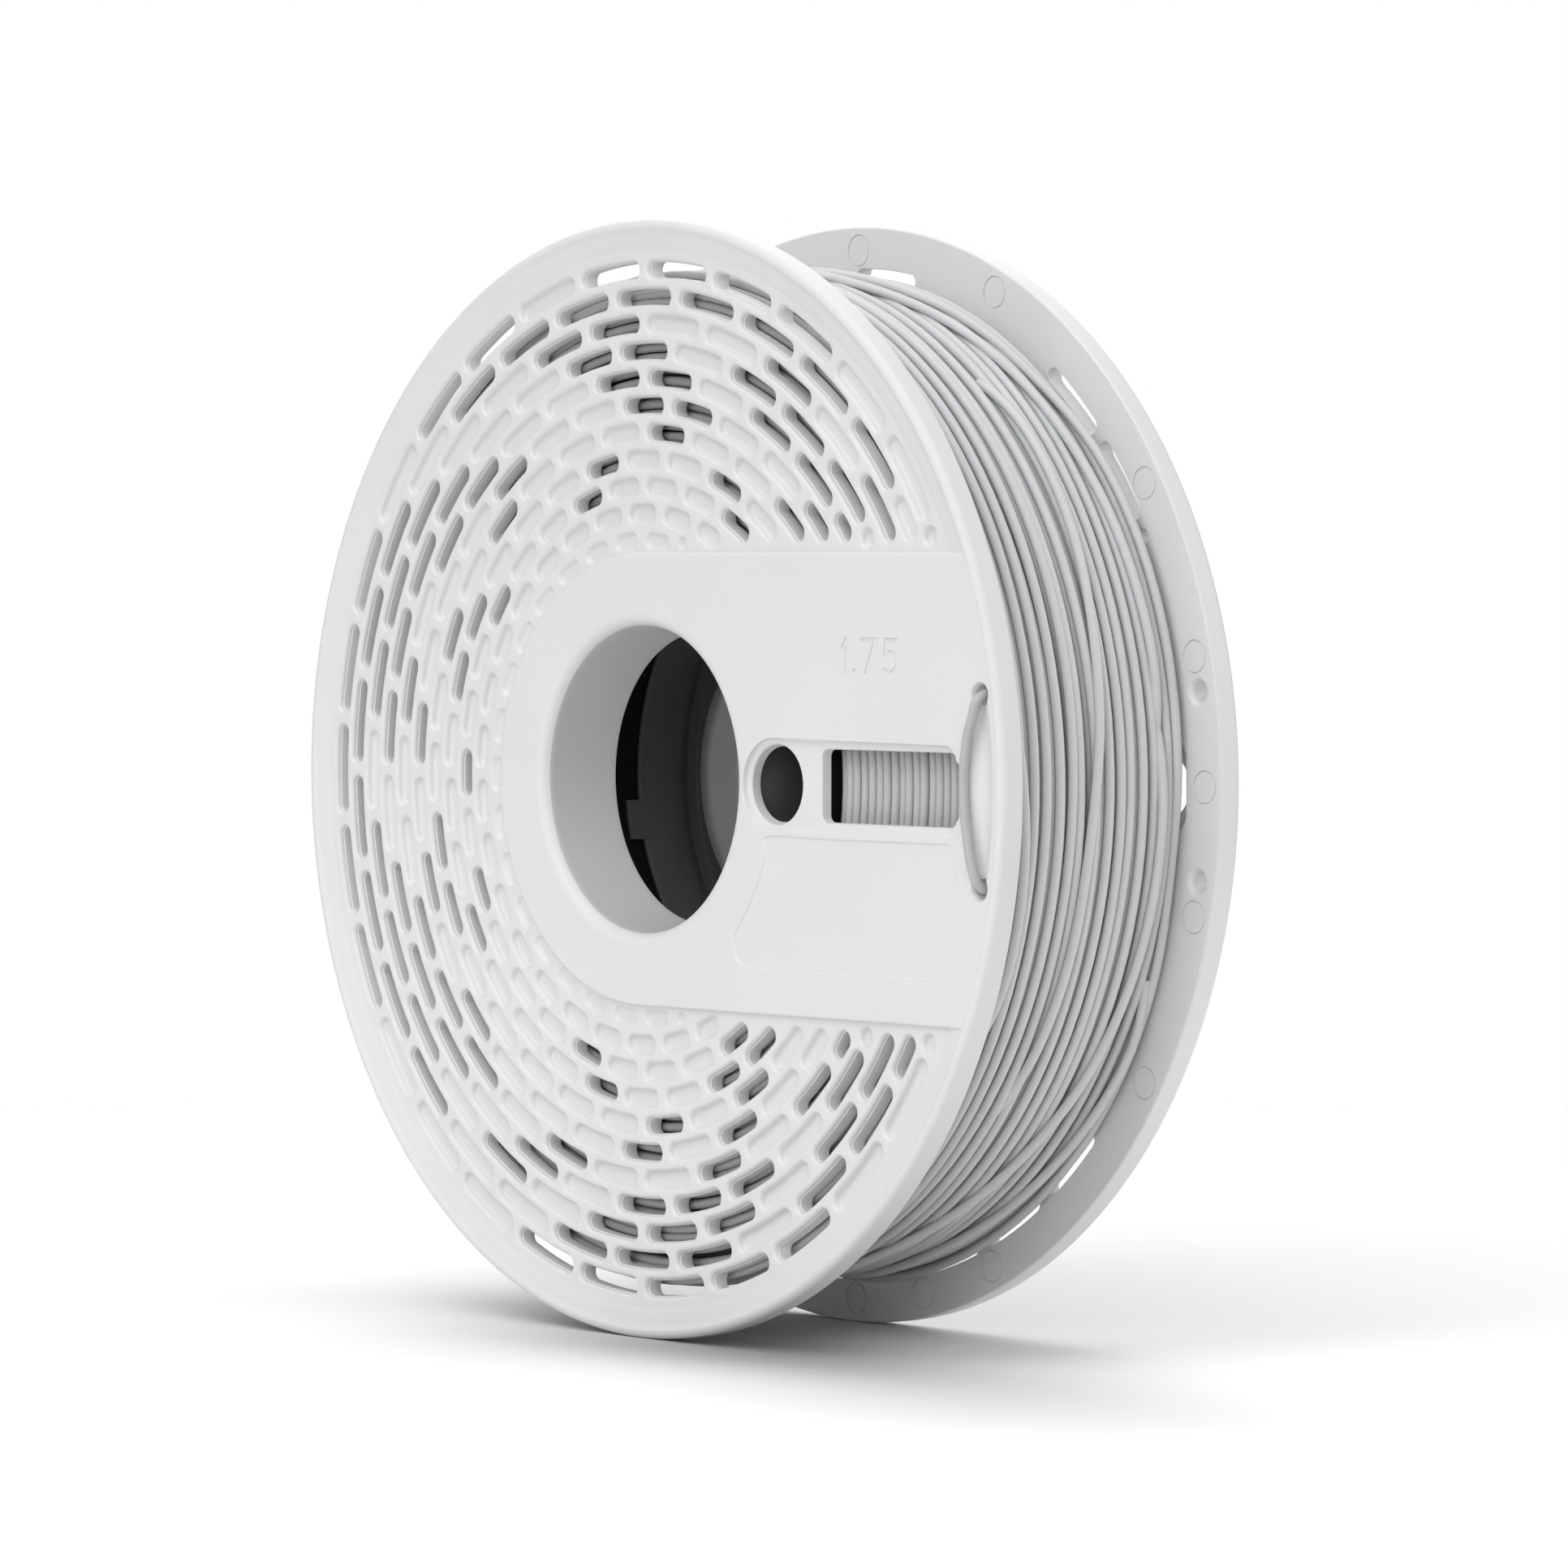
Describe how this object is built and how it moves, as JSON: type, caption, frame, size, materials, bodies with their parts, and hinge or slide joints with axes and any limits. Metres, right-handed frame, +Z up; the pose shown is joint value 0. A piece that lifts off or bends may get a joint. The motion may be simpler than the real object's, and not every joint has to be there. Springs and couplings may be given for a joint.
{
  "type": "filament spool",
  "caption": "Flanged spool with slotted webs, a keyhole panel with a level window and a hollow drum, wound with filament whose free end is threaded through two clip holes.",
  "frame": {"origin": "on the spool axis, halfway between the outer faces of the two flanges", "axes": "+Y along the spool axis from the front flange to the rear flange, +X towards the panels with the window and the clip holes, +Z up with the spool standing on its rims"},
  "size_m": [0.2, 0.0567, 0.2],
  "materials": {
    "shell_white": "satin white moulded plastic",
    "filament_grey": "satin light grey extruded strand"
  },
  "bodies": {
    "front_half": {"front_flange": "shell_white", "filament_winding": "filament_grey"},
    "rear_half": {"rear_flange": "shell_white"},
    "free_end": {"filament_tail": "filament_grey"}
  },
  "joints": [
    {"name": "rear_half_pull", "type": "slide", "parent": "front_half", "child": "rear_half", "axis": [0, 1, 0], "range_m": [0, 0.02]},
    {"name": "tail_pull", "type": "slide", "parent": "front_half", "child": "free_end", "axis": [0, -1, 0], "range_m": [0, 0.012]}
  ]
}
